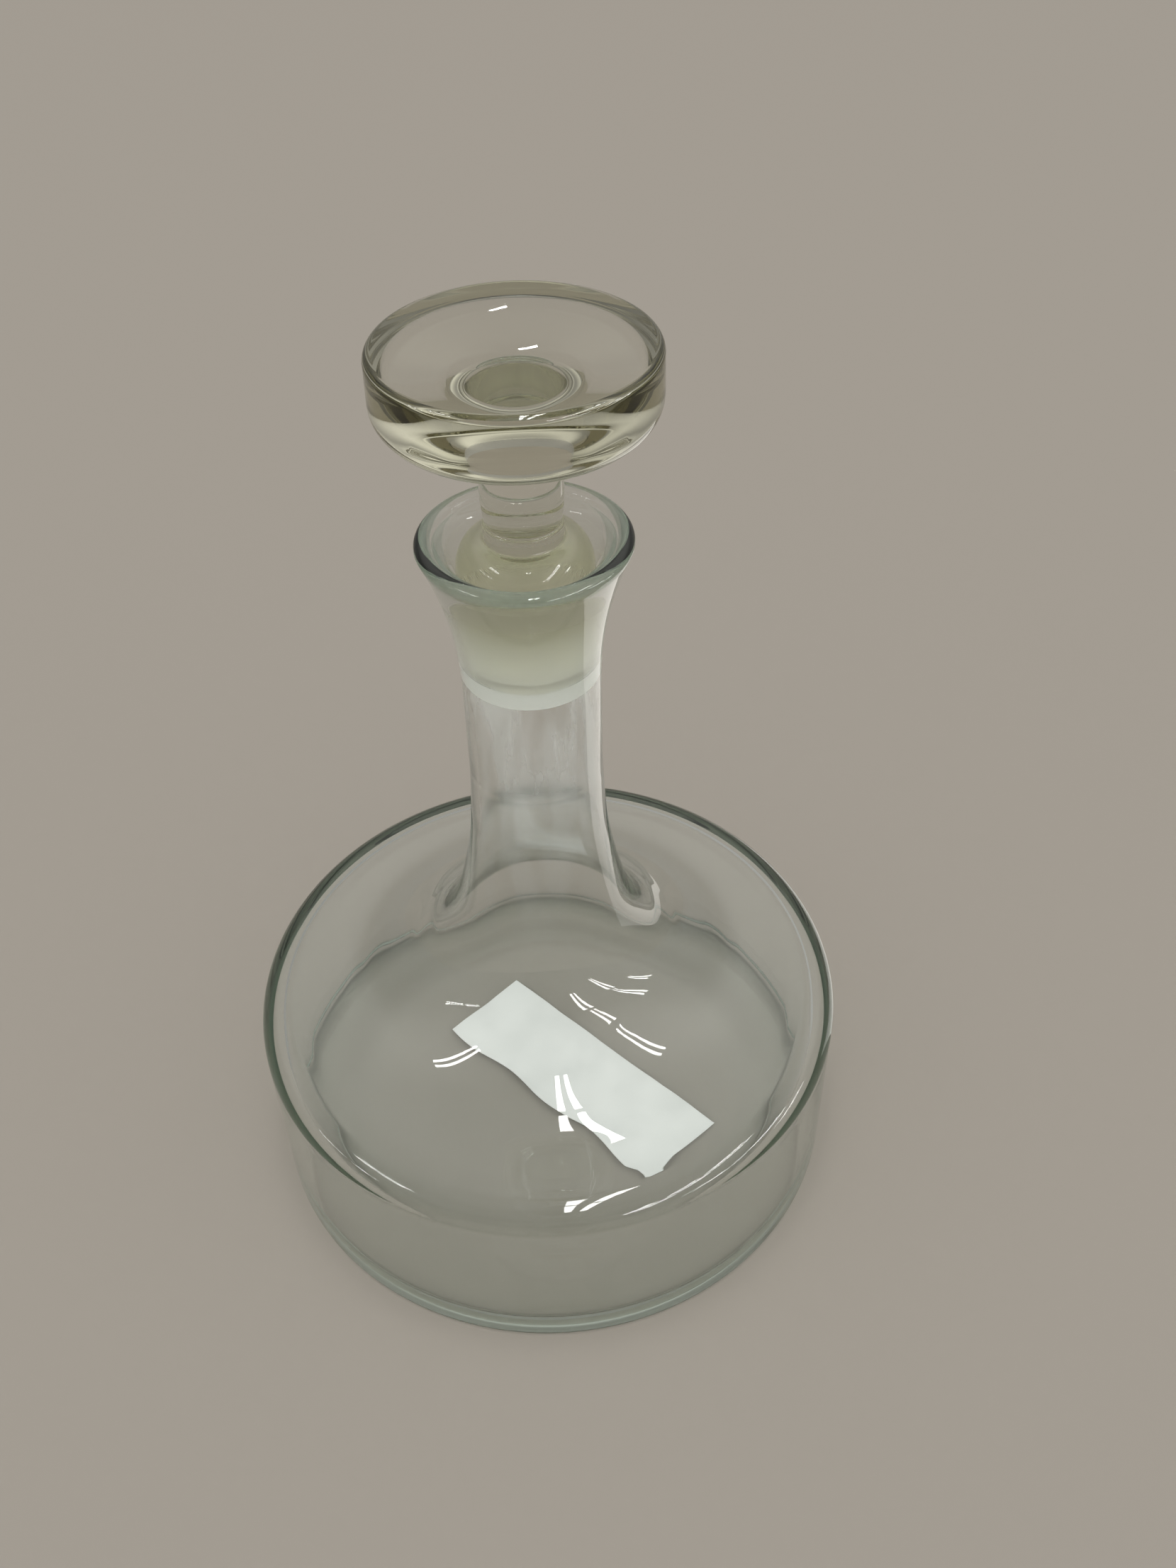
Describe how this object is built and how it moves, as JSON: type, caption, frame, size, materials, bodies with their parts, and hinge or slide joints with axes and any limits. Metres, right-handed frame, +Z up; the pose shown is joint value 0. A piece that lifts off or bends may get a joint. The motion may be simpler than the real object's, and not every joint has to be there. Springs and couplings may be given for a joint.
{
  "type": "decanter",
  "caption": "Low drum-shaped glass decanter with a long trumpet neck and a lift-off ground glass stopper with a disc knob.",
  "frame": {"origin": "centre of the ring that the decanter stands on, at the height of the table", "axes": "+Z up along the axis of the neck and stopper"},
  "size_m": [0.165, 0.165, 0.2511],
  "materials": {
    "clear_glass": "clear blown glass with a faint grey-green tint, frosted inside the neck where the plug seats",
    "stopper_glass": "clear solid glass with a faint yellow-green tint, ground matt on the tapered plug",
    "paper": "matt white paper, bare"
  },
  "bodies": {
    "vessel": {"decanter_vessel": "clear_glass", "paper_strip": "paper"},
    "stopper": {"stopper": "stopper_glass"}
  },
  "joints": [
    {"name": "stopper_lift", "type": "slide", "parent": "vessel", "child": "stopper", "axis": [0, 0, 1], "range_m": [0, 0.06]}
  ]
}
